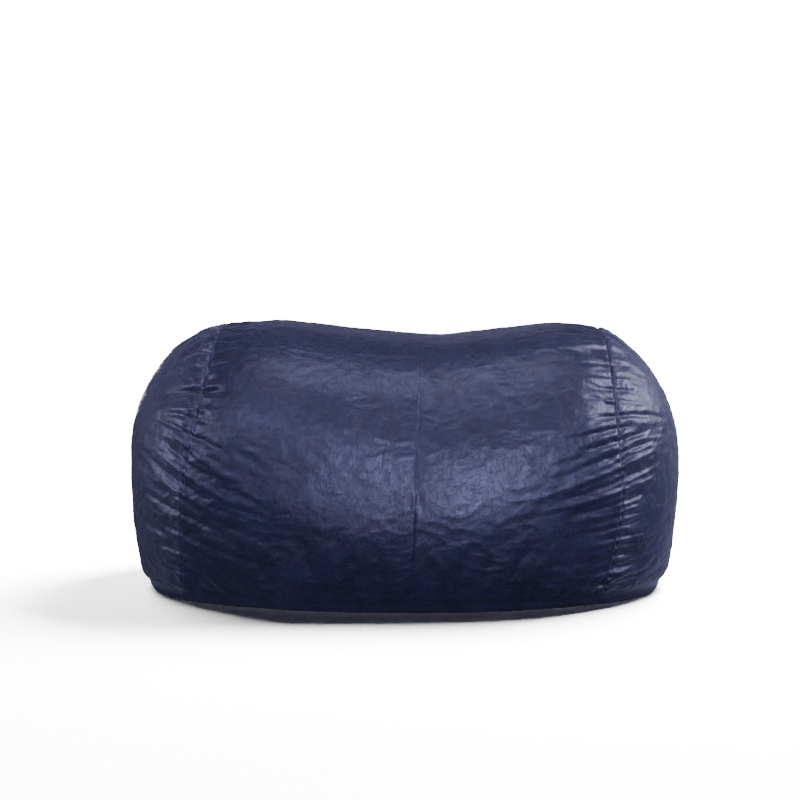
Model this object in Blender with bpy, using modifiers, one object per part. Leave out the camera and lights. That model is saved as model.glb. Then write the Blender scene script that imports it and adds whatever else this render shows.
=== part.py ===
"""A six-foot foam-filled bean bag lounger, made the way the real one is sewn and filled.

A plush cover of six panels holds a taffeta liner of two halves, and the liner holds shredded foam.
Both zips are on the back. The cover's slider has a pull, and the liner's childproof slider has none.
The bag stands on z = 0 and faces -Y. Lengths are in metres, and zip sizes in millimetres times MM.
"""

import math

import bmesh
import bpy
from mathutils import Vector

MM = 0.001

# The bag as it sits: half sizes from its centre line, and the height where it is fullest.
WIDTH = 1.83
FRONT_DEPTH = 0.562
BACK_DEPTH = 0.585
BELLY_HEIGHT = 0.37
CROWN_RISE = 0.522
FOOT_DROP = 0.72
# The back is flat, because a straight zip is sewn into it.
BACK_FLAT = 0.956 * BACK_DEPTH

# How square each stretch of the bag is: 2 is an ellipse, and more is fuller at the corners.
FRONT_PLAN = 2.3
BACK_PLAN = 3.0
CROWN = 3.7
FOOT = 2.6

# Someone has sat here: the crown sags between a left and a right crest.
SAG = 0.085
SAG_X = 0.12
SAG_REACH = 0.27

# The layers, from outside in.
PLUSH = 2.0 * MM
TAFFETA = 1.5 * MM
LINER_INSET = 16 * MM
FOAM_INSET = 30 * MM
# Facets along the width, the depth and the height.
COVER_FACETS = (18, 12, 10)
LINER_FACETS = (12, 8, 8)

# Seam planes lean: each is at its floor x plus its lean times the height.
SEAM_GAP = 0.6 * MM
LEFT_SEAM = (-0.710, 0.110)
CENTRE_SEAM = (0.020, 0.040)
RIGHT_SEAM = (0.650, 0.015)
LINER_SEAM = (0.0, 0.0)
BASE_SEAM_HEIGHT = 0.022
SOLE_HEIGHT = 0.005
SOLE_TUCK = 0.988

# Both zips run along X on the back, and their sliders rest closed at the +X end.
COVER_ZIP_HEIGHT = 0.33
LINER_ZIP_HEIGHT = 0.43
ZIP_HALF_LENGTH = 350 * MM
ZIP_SLOT_HALF = 7 * MM
SLIDER_REST = 340 * MM

# A size 5 coil zip across its line, from the face of the panel that it is sewn into.
TAPE_NEAR = 1.4 * MM
TAPE_FAR = 15 * MM
TAPE_OVERRUN = 16 * MM
TAPE_DEPTHS = (-3.1 * MM, -2.3 * MM)
COIL_NEAR = 0.2 * MM
COIL_WIDTH = 2.8 * MM
COIL_DEPTHS = (-2.0 * MM, -0.7 * MM)
COIL_SPREAD = 1.2 * MM
STOP_LENGTH = 3 * MM
STOP_CLEARANCE = 0.3 * MM

# The slider, from its centre: its rear end is narrow and its mouth is wide.
SLIDER_HALF = 5.5 * MM
SLIDER_REAR = 4.0 * MM
SLIDER_MOUTH = 5.3 * MM
FLANGE = 0.6 * MM
TOP_PLATE = (-0.4 * MM, 0.6 * MM)
BOTTOM_PLATE = (-4.3 * MM, -3.4 * MM)
FLANGE_FOOT = -2.0 * MM
DIAMOND_HALF = 0.9 * MM
BAIL_HALF = 3.6 * MM
BAIL_TOP = 3.4 * MM
BAIL_STOCK = 0.8 * MM
BAIL_HALF_WIDTH = 0.7 * MM

# The pull lies along the chain and swings over on the bail.
PULL_PIVOT = 1.6 * MM
PULL_LENGTH = 28 * MM
PULL_HALF_WIDTH = 2.8 * MM
PULL_HALF_THICKNESS = 0.45 * MM
PULL_EYE = (-5.0 * MM, -0.5 * MM)
PULL_EYE_HALF = 1.2 * MM
PULL_END = 0.6 * MM

# A blank care label hangs from the zip seam, beside the zip's end.
LABEL_X = (0.386, 0.434)
LABEL_DROP = (4 * MM, 66 * MM)
LABEL_LIFT = (0.4 * MM, 0.9 * MM)

NAVY = (0.020, 0.026, 0.090)
TAPE_NAVY = (0.012, 0.016, 0.055)
TAFFETA_WHITE = (0.78, 0.78, 0.76)
FOAM_CREAM = (0.80, 0.70, 0.48)
GUNMETAL = (0.20, 0.20, 0.21)
LABEL_WHITE = (0.85, 0.85, 0.83)


def clear_scene():
    for old in list(bpy.data.objects):
        bpy.data.objects.remove(old, do_unlink=True)


def collection(name):
    made = bpy.data.collections.new(name)
    bpy.context.scene.collection.children.link(made)
    return made


def finish(piece, colour, roughness, metallic=0.0):
    """Gives a piece its own material."""
    material = bpy.data.materials.new(piece.name)
    material.use_nodes = True
    shader = material.node_tree.nodes["Principled BSDF"]
    shader.inputs["Base Color"].default_value = (*colour, 1.0)
    shader.inputs["Roughness"].default_value = roughness
    shader.inputs["Metallic"].default_value = metallic
    piece.data.materials.clear()
    piece.data.materials.append(material)
    return piece


def from_bmesh(name, bm, parts):
    mesh = bpy.data.meshes.new(name)
    bm.to_mesh(mesh)
    bm.free()
    piece = bpy.data.objects.new(name, mesh)
    parts.objects.link(piece)
    return piece


def sag_at(x):
    """What is left of the crown's rise at this x."""
    return 1 - SAG * math.exp(-(((x - SAG_X) / SAG_REACH) ** 2))


def plump(point, inset):
    """Takes a point on a block that reaches from -1 to 1 to the bag's skin, inset from it."""
    x, y, z = point
    plan = FRONT_PLAN if y < 0 else BACK_PLAN
    rise = CROWN if z > 0 else FOOT
    reach = (abs(x) ** plan + abs(y) ** plan) ** (1 / plan)
    size = (reach**rise + abs(z) ** rise) ** (1 / rise)
    depth = (FRONT_DEPTH if y < 0 else BACK_DEPTH) - inset
    x *= (WIDTH / 2 - inset) / size
    y = min(y * depth / size, BACK_FLAT - inset)
    if z > 0:
        z *= (CROWN_RISE * sag_at(x) - inset) / size
    else:
        z *= FOOT_DROP / size
    return Vector((x, y, z + BELLY_HEIGHT))


def bag_skin(facets, inset, has_floor):
    """The bag's closed surface as a bmesh. Without a floor it goes on below z = 0, to be trimmed."""
    bm = bmesh.new()
    bmesh.ops.create_cube(bm, size=2)
    for axis, count in enumerate(facets):
        normal = Vector((0, 0, 0))
        normal[axis] = 1
        for step in range(1, count):
            everything = bm.verts[:] + bm.edges[:] + bm.faces[:]
            place = normal * (2 * step / count - 1)
            bmesh.ops.bisect_plane(bm, geom=everything, dist=1e-6, plane_co=place, plane_no=normal)
    for vert in bm.verts:
        vert.co = plump(vert.co, inset)
        if has_floor:
            vert.co.z = max(vert.co.z, inset)
    bmesh.ops.recalc_face_normals(bm, faces=bm.faces[:])
    return bm


def trim(bm, point, normal):
    """Cuts away what is on the side of a plane that its normal points to."""
    everything = bm.verts[:] + bm.edges[:] + bm.faces[:]
    bmesh.ops.bisect_plane(
        bm, geom=everything, dist=1e-6, plane_co=point, plane_no=normal, clear_outer=True
    )


def trim_at_seam(bm, seam, side):
    """Cuts a skin at a leaning seam and keeps its +X side (side 1) or its -X side (side -1)."""
    floor_x, lean = seam
    edge = Vector((floor_x + side * SEAM_GAP / 2, 0, 0))
    trim(bm, edge, Vector((-side, 0, side * lean)))


def trim_at_height(bm, height, side):
    """Keeps what is above (side 1) or below (side -1) a level seam."""
    trim(bm, Vector((0, 0, height + side * SEAM_GAP / 2)), Vector((0, 0, -side)))


def drop_faces(bm, unwanted):
    bmesh.ops.delete(bm, geom=[f for f in bm.faces if unwanted(f)], context="FACES")


def sewn_panel(name, bm, thickness, parts):
    """A panel of cloth whose outer face is the skin."""
    panel = from_bmesh(name, bm, parts)
    panel.data.shade_smooth()
    cloth = panel.modifiers.new("cloth", "SOLIDIFY")
    cloth.thickness = thickness
    cloth.offset = -1
    return panel


def end_panel(name, seam, side, parts):
    bm = bag_skin(COVER_FACETS, 0, has_floor=False)
    trim_at_seam(bm, seam, side)
    trim_at_height(bm, BASE_SEAM_HEIGHT, 1)
    return finish(sewn_panel(name, bm, PLUSH, parts), NAVY, 0.75)


def wrap_panel(name, left, right, parts):
    """One panel up the front, over the top and down the back to the zip's seam."""
    bm = bag_skin(COVER_FACETS, 0, has_floor=False)
    trim_at_seam(bm, left, 1)
    trim_at_seam(bm, right, -1)
    trim_at_height(bm, BASE_SEAM_HEIGHT, 1)
    zip_seam = Vector((0, 0, COVER_ZIP_HEIGHT + SEAM_GAP / 2))
    everything = bm.verts[:] + bm.edges[:] + bm.faces[:]
    up = Vector((0, 0, 1))
    bmesh.ops.bisect_plane(bm, geom=everything, dist=1e-6, plane_co=zip_seam, plane_no=up)
    drop_faces(bm, lambda f: f.calc_center_median().y > 0 and f.calc_center_median().z < zip_seam.z)
    return finish(sewn_panel(name, bm, PLUSH, parts), NAVY, 0.75)


def back_panel(name, parts):
    bm = bag_skin(COVER_FACETS, 0, has_floor=False)
    trim_at_seam(bm, LEFT_SEAM, 1)
    trim_at_seam(bm, RIGHT_SEAM, -1)
    trim_at_height(bm, BASE_SEAM_HEIGHT, 1)
    trim_at_height(bm, COVER_ZIP_HEIGHT, -1)
    drop_faces(bm, lambda f: f.calc_center_median().y < 0)
    return finish(sewn_panel(name, bm, PLUSH, parts), NAVY, 0.75)


def base_panel(name, parts):
    """The flat base, whose edge turns up to its seam."""
    bm = bag_skin(COVER_FACETS, 0, has_floor=False)
    trim_at_height(bm, BASE_SEAM_HEIGHT, -1)
    trim(bm, Vector((0, 0, SOLE_HEIGHT)), Vector((0, 0, -1)))
    rim = [e for e in bm.edges if e.is_boundary and e.verts[0].co.z < SOLE_HEIGHT + MM]
    grown = bmesh.ops.extrude_edge_only(bm, edges=rim)["geom"]
    for vert in (v for v in grown if isinstance(v, bmesh.types.BMVert)):
        vert.co = Vector((vert.co.x * SOLE_TUCK, vert.co.y * SOLE_TUCK, 0))
    sole = [e for e in grown if isinstance(e, bmesh.types.BMEdge) and e.is_boundary]
    bmesh.ops.contextual_create(bm, geom=sole)
    bmesh.ops.recalc_face_normals(bm, faces=bm.faces[:])
    return finish(sewn_panel(name, bm, PLUSH, parts), NAVY, 0.75)


def liner_half(name, side, parts):
    bm = bag_skin(LINER_FACETS, LINER_INSET, has_floor=True)
    trim_at_seam(bm, LINER_SEAM, side)
    return finish(sewn_panel(name, bm, TAFFETA, parts), TAFFETA_WHITE, 0.55)


def foam_body(name, parts):
    foam = from_bmesh(name, bag_skin(LINER_FACETS, FOAM_INSET, has_floor=True), parts)
    foam.data.shade_smooth()
    return finish(foam, FOAM_CREAM, 0.95)


def prism(name, outlines, low, high, parts, along="Y"):
    """Flat outlines, the first with the others as holes, made solid from low to high.

    Along Y the outlines are drawn in X and Z, and along Z in X and Y.
    """
    drawing = bpy.data.curves.new(name, "CURVE")
    drawing.dimensions = "2D"
    drawing.fill_mode = "BOTH"
    drawing.extrude = (high - low) / 2
    for outline in outlines:
        spline = drawing.splines.new("POLY")
        spline.points.add(len(outline) - 1)
        for point, (u, v) in zip(spline.points, outline):
            point.co = (u, v, 0, 1)
        spline.use_cyclic_u = True
    drawn = bpy.data.objects.new(name, drawing)
    parts.objects.link(drawn)
    bpy.context.view_layer.update()
    seen = drawn.evaluated_get(bpy.context.evaluated_depsgraph_get())
    mesh = bpy.data.meshes.new_from_object(seen)
    bpy.data.objects.remove(drawn)
    bm = bmesh.new()
    bm.from_mesh(mesh)
    bmesh.ops.remove_doubles(bm, verts=bm.verts[:], dist=1e-6)
    middle = (low + high) / 2
    for vert in bm.verts:
        u, v, w = vert.co
        vert.co = Vector((u, middle - w, v)) if along == "Y" else Vector((u, v, middle + w))
    bmesh.ops.recalc_face_normals(bm, faces=bm.faces[:])
    bpy.data.meshes.remove(mesh)
    return from_bmesh(name, bm, parts)


def mirrored(outline):
    """The same outline on the other side of the zip's line."""
    return [(u, -v) for u, v in outline]


def rectangle(x_span, v_span):
    (x0, x1), (v0, v1) = x_span, v_span
    return [(x0, v0), (x1, v0), (x1, v1), (x0, v1)]


def tool(piece, cutters):
    """Puts a piece away as a cutter or as stock to join."""
    for holder in list(piece.users_collection):
        holder.objects.unlink(piece)
    cutters.objects.link(piece)
    piece.hide_render = True
    piece.display_type = "WIRE"
    return piece


def combine(piece, other, operation):
    joint = piece.modifiers.new(other.name, "BOOLEAN")
    joint.operation = operation
    joint.solver = "EXACT"
    joint.object = other


def coil_row():
    """The upper row of the chain: closed behind the slider, and spread apart in its mouth."""
    tail = -ZIP_HALF_LENGTH
    head = ZIP_HALF_LENGTH
    shut = SLIDER_REST - SLIDER_HALF + 0.5 * MM
    spread = SLIDER_REST + 2 * MM
    near = [(tail, 0), (shut, 0), (spread, COIL_SPREAD), (head, COIL_SPREAD)]
    inner = [(u, v + COIL_NEAR) for u, v in near]
    outer = [(u, v + COIL_NEAR + COIL_WIDTH) for u, v in reversed(near)]
    return inner + outer


def slider_plate():
    rear, mouth = (-SLIDER_HALF, SLIDER_HALF)
    return [(rear, -SLIDER_REAR), (mouth, -SLIDER_MOUTH), (mouth, SLIDER_MOUTH), (rear, SLIDER_REAR)]


def slider_flange():
    """The upper flange, which keeps the coil inside the slider and the tape outside."""
    inside = 0.1 * MM
    rear, mouth = (-SLIDER_HALF + inside, SLIDER_HALF - inside)
    near = [(rear, SLIDER_REAR - FLANGE - inside), (mouth, SLIDER_MOUTH - FLANGE - inside)]
    far = [(mouth, SLIDER_MOUTH - inside), (rear, SLIDER_REAR - inside)]
    return near + far


def slider_diamond():
    """The wedge that parts the two rows."""
    tip = -0.5 * MM
    shoulder = 2.5 * MM
    end = SLIDER_HALF - 0.5 * MM
    half = [(end, DIAMOND_HALF), (shoulder, DIAMOND_HALF)]
    return half + [(tip, 0)] + [(u, -v) for u, v in reversed(half)]


def slider_bail():
    """The bridge over the top plate that the pull hangs on, seen from the side."""
    foot = (TOP_PLATE[0] + TOP_PLATE[1]) / 2
    chamfer = BAIL_STOCK * 0.75
    half = [(BAIL_HALF, foot), (BAIL_HALF, BAIL_TOP - chamfer), (BAIL_HALF - chamfer, BAIL_TOP)]
    under = [(BAIL_HALF - BAIL_STOCK, BAIL_TOP - BAIL_STOCK), (BAIL_HALF - BAIL_STOCK, foot)]
    over = half + [(-u, v) for u, v in reversed(half)]
    back_under = [(-u, v) for u, v in reversed(under)]
    return over + back_under + under


def slider_body(name, has_bail, parts, cutters):
    """Top and bottom plates held apart by the diamond, with flanges, and a bail if it has a pull."""
    body = prism(name, [slider_plate()], *TOP_PLATE, parts)
    lift = 0.1 * MM
    members = {
        "bottom_plate": prism(f"{name}_bottom_plate", [slider_plate()], *BOTTOM_PLATE, parts),
        "diamond": prism(
            f"{name}_diamond", [slider_diamond()], BOTTOM_PLATE[0] + lift, TOP_PLATE[1] - lift, parts
        ),
    }
    for side, outline in (("upper", slider_flange()), ("lower", mirrored(slider_flange()))):
        flange = prism(f"{name}_{side}_flange", [outline], FLANGE_FOOT, TOP_PLATE[1] - lift, parts)
        members[f"{side}_flange"] = flange
    if has_bail:
        members["bail"] = prism(
            f"{name}_bail", [slider_bail()], -BAIL_HALF_WIDTH, BAIL_HALF_WIDTH, parts, along="Z"
        )
    for member in members.values():
        member.parent = body
        combine(body, tool(member, cutters), "UNION")
    return finish(body, GUNMETAL, 0.35, 1.0)


def pull_tab(name, parts):
    """A flat tab that points back along the closed chain, with an eye for the bail."""
    neck = PULL_HALF_WIDTH * 0.8
    corner = 1.2 * MM
    tip = -PULL_LENGTH
    half = [
        (PULL_END, neck - corner / 2),
        (PULL_END - corner / 2, neck),
        (PULL_EYE[0] - corner, neck),
        (tip + corner * 2, PULL_HALF_WIDTH),
        (tip + corner / 2, PULL_HALF_WIDTH - corner / 2),
        (tip, PULL_HALF_WIDTH - corner * 1.6),
    ]
    outline = half + [(u, -v) for u, v in reversed(half)]
    eye = rectangle(PULL_EYE, (-PULL_EYE_HALF, PULL_EYE_HALF))
    tab = prism(name, [outline, eye], -PULL_HALF_THICKNESS, PULL_HALF_THICKNESS, parts)
    return finish(tab, GUNMETAL, 0.35, 1.0)


def zip_parts(prefix, line, has_pull, parts, cutters):
    """Every piece of one zip, drawn about the zip's own line: +X along it and +Y out of the bag."""
    made = []
    ends = (-ZIP_HALF_LENGTH - TAPE_OVERRUN, ZIP_HALF_LENGTH + TAPE_OVERRUN)
    tape = rectangle(ends, (TAPE_NEAR, TAPE_FAR))
    head = ZIP_HALF_LENGTH + STOP_CLEARANCE
    stop_reach = (COIL_NEAR + COIL_SPREAD, COIL_NEAR + COIL_SPREAD + COIL_WIDTH)
    stop = rectangle((head, head + STOP_LENGTH), stop_reach)
    upper_lower = {
        "tape": (tape, TAPE_DEPTHS, TAPE_NAVY, 0.85, 0.0),
        "coil": (coil_row(), COIL_DEPTHS, TAPE_NAVY, 0.45, 0.0),
        "top_stop": (stop, COIL_DEPTHS, GUNMETAL, 0.35, 1.0),
    }
    for kind, (outline, depths, colour, roughness, metallic) in upper_lower.items():
        for side, shape in (("upper", outline), ("lower", mirrored(outline))):
            piece = prism(f"{prefix}_{side}_{kind}", [shape], *depths, parts)
            made.append(finish(piece, colour, roughness, metallic))
    tail = -ZIP_HALF_LENGTH - STOP_CLEARANCE
    across = COIL_NEAR + COIL_WIDTH
    bottom = rectangle((tail - STOP_LENGTH, tail), (-across, across))
    stop_piece = prism(f"{prefix}_bottom_stop", [bottom], *COIL_DEPTHS, parts)
    made.append(finish(stop_piece, GUNMETAL, 0.35, 1.0))
    slider = slider_body(f"{prefix}_slider", has_pull, parts, cutters)
    slider.location = (SLIDER_REST, 0, 0)
    made.append(slider)
    if has_pull:
        pull = pull_tab(f"{prefix}_pull", parts)
        pull.parent = slider
        pull.location = (0, PULL_PIVOT, 0)
    for piece in made:
        piece.parent = line


def zip_line(name, height, inset, parts):
    """An empty on the zip's line, in the face of the panel that it is sewn into."""
    line = bpy.data.objects.new(name, None)
    line.location = (0, BACK_FLAT - inset, height)
    parts.objects.link(line)
    return line


def zip_slot(name, line, panels, parts, cutters):
    """Opens the panels along a zip."""
    reach = ZIP_HALF_LENGTH + 2 * STOP_LENGTH
    opening = rectangle((-reach, reach), (-ZIP_SLOT_HALF, ZIP_SLOT_HALF))
    slot = prism(name, [opening], -10 * MM, 10 * MM, parts)
    slot.parent = line
    tool(slot, cutters)
    for panel in panels:
        combine(panel, slot, "DIFFERENCE")


def care_label(name, parts):
    drop = tuple(COVER_ZIP_HEIGHT - d for d in reversed(LABEL_DROP))
    low, high = (BACK_FLAT + lift for lift in LABEL_LIFT)
    return finish(prism(name, [rectangle(LABEL_X, drop)], low, high, parts), LABEL_WHITE, 0.6)


def build():
    clear_scene()
    parts = collection("bean_bag_lounger")
    cutters = collection("cutters")

    end_panel("left_end_panel", LEFT_SEAM, -1, parts)
    end_panel("right_end_panel", RIGHT_SEAM, 1, parts)
    left_wrap = wrap_panel("left_wrap_panel", LEFT_SEAM, CENTRE_SEAM, parts)
    right_wrap = wrap_panel("right_wrap_panel", CENTRE_SEAM, RIGHT_SEAM, parts)
    back = back_panel("back_lower_panel", parts)
    base_panel("base_panel", parts)
    left_liner = liner_half("liner_left_half", -1, parts)
    right_liner = liner_half("liner_right_half", 1, parts)
    foam_body("foam_filling", parts)

    cover_line = zip_line("cover_zip_line", COVER_ZIP_HEIGHT, 0, parts)
    zip_parts("cover_zip", cover_line, True, parts, cutters)
    zip_slot("cover_zip_slot", cover_line, (left_wrap, right_wrap, back), parts, cutters)
    liner_line = zip_line("liner_zip_line", LINER_ZIP_HEIGHT, LINER_INSET, parts)
    zip_parts("liner_zip", liner_line, False, parts, cutters)
    zip_slot("liner_zip_slot", liner_line, (left_liner, right_liner), parts, cutters)
    care_label("care_label", parts)


build()
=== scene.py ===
"""The looks of a six-foot bean bag lounger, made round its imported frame.

A plush cover of six panels is puffed up as cloth over the foam, gathered along its side seams.
The bag stands on z = 0 and faces -Y. Lengths are in metres, and small ones in millimetres times MM.
"""
import math

import bmesh
import bpy
import numpy as np
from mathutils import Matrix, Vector, kdtree, noise


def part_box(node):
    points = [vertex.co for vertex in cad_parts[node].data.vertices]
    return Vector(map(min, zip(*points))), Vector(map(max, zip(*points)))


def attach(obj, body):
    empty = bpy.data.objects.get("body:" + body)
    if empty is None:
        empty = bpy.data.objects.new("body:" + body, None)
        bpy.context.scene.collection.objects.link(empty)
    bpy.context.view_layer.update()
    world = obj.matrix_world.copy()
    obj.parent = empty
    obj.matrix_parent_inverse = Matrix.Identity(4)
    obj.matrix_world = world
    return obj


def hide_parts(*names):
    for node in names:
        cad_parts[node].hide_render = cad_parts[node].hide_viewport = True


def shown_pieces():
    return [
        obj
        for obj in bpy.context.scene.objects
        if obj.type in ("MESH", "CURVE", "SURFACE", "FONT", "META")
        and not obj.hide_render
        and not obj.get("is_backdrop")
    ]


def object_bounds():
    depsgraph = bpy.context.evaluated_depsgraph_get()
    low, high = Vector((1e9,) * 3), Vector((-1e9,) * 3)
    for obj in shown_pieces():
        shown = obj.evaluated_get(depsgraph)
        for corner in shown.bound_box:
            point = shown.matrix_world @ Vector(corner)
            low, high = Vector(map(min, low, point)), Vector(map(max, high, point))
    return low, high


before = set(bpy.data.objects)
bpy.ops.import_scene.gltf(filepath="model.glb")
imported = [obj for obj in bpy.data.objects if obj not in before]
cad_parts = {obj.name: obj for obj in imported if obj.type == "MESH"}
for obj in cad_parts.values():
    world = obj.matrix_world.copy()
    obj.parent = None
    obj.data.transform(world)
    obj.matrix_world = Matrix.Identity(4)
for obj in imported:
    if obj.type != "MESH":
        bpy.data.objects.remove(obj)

MM = 0.001
CAD_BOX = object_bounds()
LOW, HIGH = CAD_BOX

# The bag's own sizes, from its frame.
HALF_WIDTH = (HIGH.x - LOW.x) / 2
FRONT_DEPTH = -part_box("left_wrap_panel")[0].y
BACK_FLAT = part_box("back_lower_panel")[1].y
BACK_SWELL = 1.04
HEIGHT = HIGH.z
BASE_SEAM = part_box("left_wrap_panel")[0].z
ZIP_SEAM = sum(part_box("cover_zip_bottom_stop")[k].z for k in (0, 1)) / 2
# Half the length and half the height of a zip's opening, and the plush's thickness.
ZIP_REACH = 2.7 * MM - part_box("cover_zip_bottom_stop")[0].x
SLOT_HALF = 7 * MM
PLUSH = 2 * MM

# Half width, half depth and height from the foot to the middle of the top, as shares of the bag's.
PROFILE = [
    (0.938, 0.865, 0.000), (0.962, 0.911, 0.068), (0.981, 0.961, 0.169), (0.994, 0.989, 0.304),
    (1.000, 1.000, 0.440), (0.992, 0.989, 0.586), (0.970, 0.952, 0.688), (0.937, 0.890, 0.767),
    (0.891, 0.804, 0.851), (0.836, 0.694, 0.915), (0.781, 0.560, 0.962), (0.716, 0.391, 0.992),
    (0.437, 0.196, 0.999), (0.000, 0.000, 1.000),
]
# The crown's height along the bag: two crests, and the dip where someone has sat.
CROWN = [
    (-0.765, 0.983), (-0.634, 0.992), (-0.459, 1.002), (-0.306, 0.988), (-0.175, 0.967),
    (0.000, 0.953), (0.093, 0.947), (0.146, 0.936), (0.202, 0.954), (0.295, 0.967),
    (0.404, 0.972), (0.503, 0.988), (0.590, 0.995), (0.678, 0.988), (0.765, 0.979),
]
# The crown's shape starts at this height, and is whole at this share of the bag's.
CROWN_STARTS, CROWN_WHOLE = 0.42, 0.95
# How much lower the front's belly hangs along the bag: it has slumped in the middle.
BELLY = [
    (-0.95, 0.0), (-0.76, -0.080), (-0.55, -0.055), (-0.33, 0.020), (0.0, 0.090),
    (0.22, 0.085), (0.44, 0.030), (0.66, -0.040), (0.76, -0.045), (0.95, 0.0),
]
# The slump is at its most below the bag's middle: a power under 1 brings it lower.
SLUMP_POWER = 0.6
# The fold of cloth the belly hangs in: how far out it stands, its height and half height, how it
# rises away from its lowest place along the bag, and how far it reaches.
FOLD_OUT, FOLD_HEIGHT, FOLD_HALF = 0.018, 0.300, 0.100
FOLD_RISE, FOLD_LOWEST, FOLD_REACH = 0.40, 0.04, 0.55
# The hollow sat into the front above it: how deep it is, its place along and up, and its size.
HOLLOW = 0.024
HOLLOW_PLACE, HOLLOW_SIZE = (0.20, 0.70), (0.26, 0.12)
# How square the bag is from above: 2 is an ellipse, and more is fuller at the corners.
FRONT_PLAN, BACK_PLAN, FOOT_PLAN = 2.45, 3.0, 2.25
# How far up the foot's rounder plan goes.
FOOT_REACH = 0.16

# The grid: cells across the two wrap panels, across the ends' tops, up their sides and under the zip.
ACROSS, OVER, UP, BACK_ROWS = 80, 72, 102, 42
# The left wrap panel's share of the cells across.
LEFT_SHARE = 0.53
# The first cell beside a seam, as a share of a whole one, and how much each next one grows.
SEAM_CELL, CELL_GROWTH = 0.3, 0.28
# Where the ends' grids are pushed out from: this far along the bag, and this far up.
END_MIDDLE = 0.30
# How far out the search for the form goes, and how often it halves its step.
FARTHEST, HALVINGS = 3.0, 36

# One seed for every draw, so that the cloth falls the same way each time.
SEED = 41
noise.seed_set(SEED)


# ---- the form: a smooth, full bag -------------------------------------------------------------


def smooth_curve(knots, count, passes):
    """Points along a line through the knots, with its corners rounded off."""
    knots = np.array(knots, float)
    steps = np.linalg.norm(np.diff(knots, axis=0), axis=1)
    along = np.concatenate([[0], np.cumsum(steps)])
    places = np.linspace(0, along[-1], count)
    curve = np.stack([np.interp(places, along, column) for column in knots.T], 1)
    for _ in range(passes):
        curve[1:-1] = (curve[:-2] + 2 * curve[1:-1] + curve[2:]) / 4
    return curve


CURVE = smooth_curve(PROFILE, 800, 260) * (HALF_WIDTH, FRONT_DEPTH, HEIGHT)
CROWN_CURVE = smooth_curve(CROWN, 400, 30) * (HALF_WIDTH, 1)
BELLY_CURVE = smooth_curve(BELLY, 400, 200) * (HALF_WIDTH, 1)


def ease(share):
    """A share from 0 to 1 that starts and ends gently."""
    share = np.clip(share, 0, 1)
    return share * share * (3 - 2 * share)


def crown_share(x, z):
    """How far the crown's crests and its dip lift or lower the bag here."""
    lift = np.interp(x, CROWN_CURVE[:, 0], CROWN_CURVE[:, 1]) - 1
    return 1 + lift * ease((z - CROWN_STARTS) / (HEIGHT * CROWN_WHOLE - CROWN_STARTS))


def plan_at(z, side):
    """How square the bag is from above at this height, at its front (side -1) or back (side 1)."""
    full = FRONT_PLAN if side < 0 else BACK_PLAN
    return FOOT_PLAN + (full - FOOT_PLAN) * ease(z / FOOT_REACH)


def reach_at(x, z, side):
    """How far the bag reaches to the front (side -1) or the back (side 1) of this point."""
    wide = np.interp(z, CURVE[:, 2], CURVE[:, 0])
    slump = np.interp(x, BELLY_CURVE[:, 0], BELLY_CURVE[:, 1]) if side < 0 else 0
    slumped = z + slump * np.sin(math.pi * np.clip(z / HEIGHT, 0, 1) ** SLUMP_POWER)
    deep = np.interp(slumped, CURVE[:, 2], CURVE[:, 1])
    plan = plan_at(z, side)
    share = np.clip(np.abs(x) / np.maximum(wide, 1e-6), 0, 1)
    reach = deep * (1 - share**plan) ** (1 / plan)
    if side > 0:
        return np.minimum(reach * BACK_SWELL, BACK_FLAT)
    rising = FOLD_HEIGHT + FOLD_RISE * (x - FOLD_LOWEST) ** 2
    fold = FOLD_OUT * np.exp(-(((z - rising) / FOLD_HALF) ** 2) - (x / FOLD_REACH) ** 4)
    across, up = (x - HOLLOW_PLACE[0]) / HOLLOW_SIZE[0], (z - HOLLOW_PLACE[1]) / HOLLOW_SIZE[1]
    return reach + fold - HOLLOW * np.exp(-(up**2) - across**2)


def is_inside(points):
    x, y, z = points[..., 0], points[..., 1], points[..., 2]
    wide = np.interp(z, CURVE[:, 2], CURVE[:, 0])
    reach = np.where(y < 0, reach_at(x, z, -1), reach_at(x, z, 1))
    return (z > 0) & (z < CURVE[-1, 2]) & (np.abs(x) < wide) & (np.abs(y) < reach)


def pushed_out(points, centre):
    """Moves points along the lines from the centre onto the form."""
    away = points - centre
    near, far = np.zeros(points.shape[:-1]), np.full(points.shape[:-1], FARTHEST)
    for _ in range(HALVINGS):
        middle = (near + far) / 2
        inside = is_inside(centre + away * middle[..., None])
        near, far = np.where(inside, middle, near), np.where(inside, far, middle)
    return centre + away * near[..., None]


def leaning_seam(left_node, right_node, bow):
    """Says a seam's x at any height: where two panels of the frame meet, bowed by its gathers."""
    bottom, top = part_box(right_node)[0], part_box(left_node)[1]
    lean = (top.x - bottom.x) / (top.z - bottom.z)
    bowed = smooth_curve(bow, 120, 200)
    return lambda z: bottom.x + lean * (z - bottom.z) + np.interp(z, bowed[:, 0], bowed[:, 1])


# How the gathers bow each seam: a height, and how far along the bag the seam moves there.
LEFT_BOW = [(0, 0), (0.20, -0.020), (0.36, -0.036), (0.62, -0.009), (0.88, 0.016)]
CENTRE_BOW = [(0, 0), (0.88, 0.0)]
RIGHT_BOW = [(0, -0.030), (0.10, 0.004), (0.34, 0.034), (0.56, 0.012), (0.88, -0.016)]
LEFT_SEAM = leaning_seam("left_end_panel", "left_wrap_panel", LEFT_BOW)
CENTRE_SEAM = leaning_seam("left_wrap_panel", "right_wrap_panel", CENTRE_BOW)
RIGHT_SEAM = leaning_seam("right_wrap_panel", "right_end_panel", RIGHT_BOW)


def sampled(line, count):
    """Evenly spaced points along a line of points."""
    steps = np.linalg.norm(np.diff(line, axis=0), axis=1)
    along = np.concatenate([[0], np.cumsum(steps)])
    places = np.linspace(0, along[-1], count + 1)
    return np.stack([np.interp(places, along, column) for column in line.T], 1)


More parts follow.
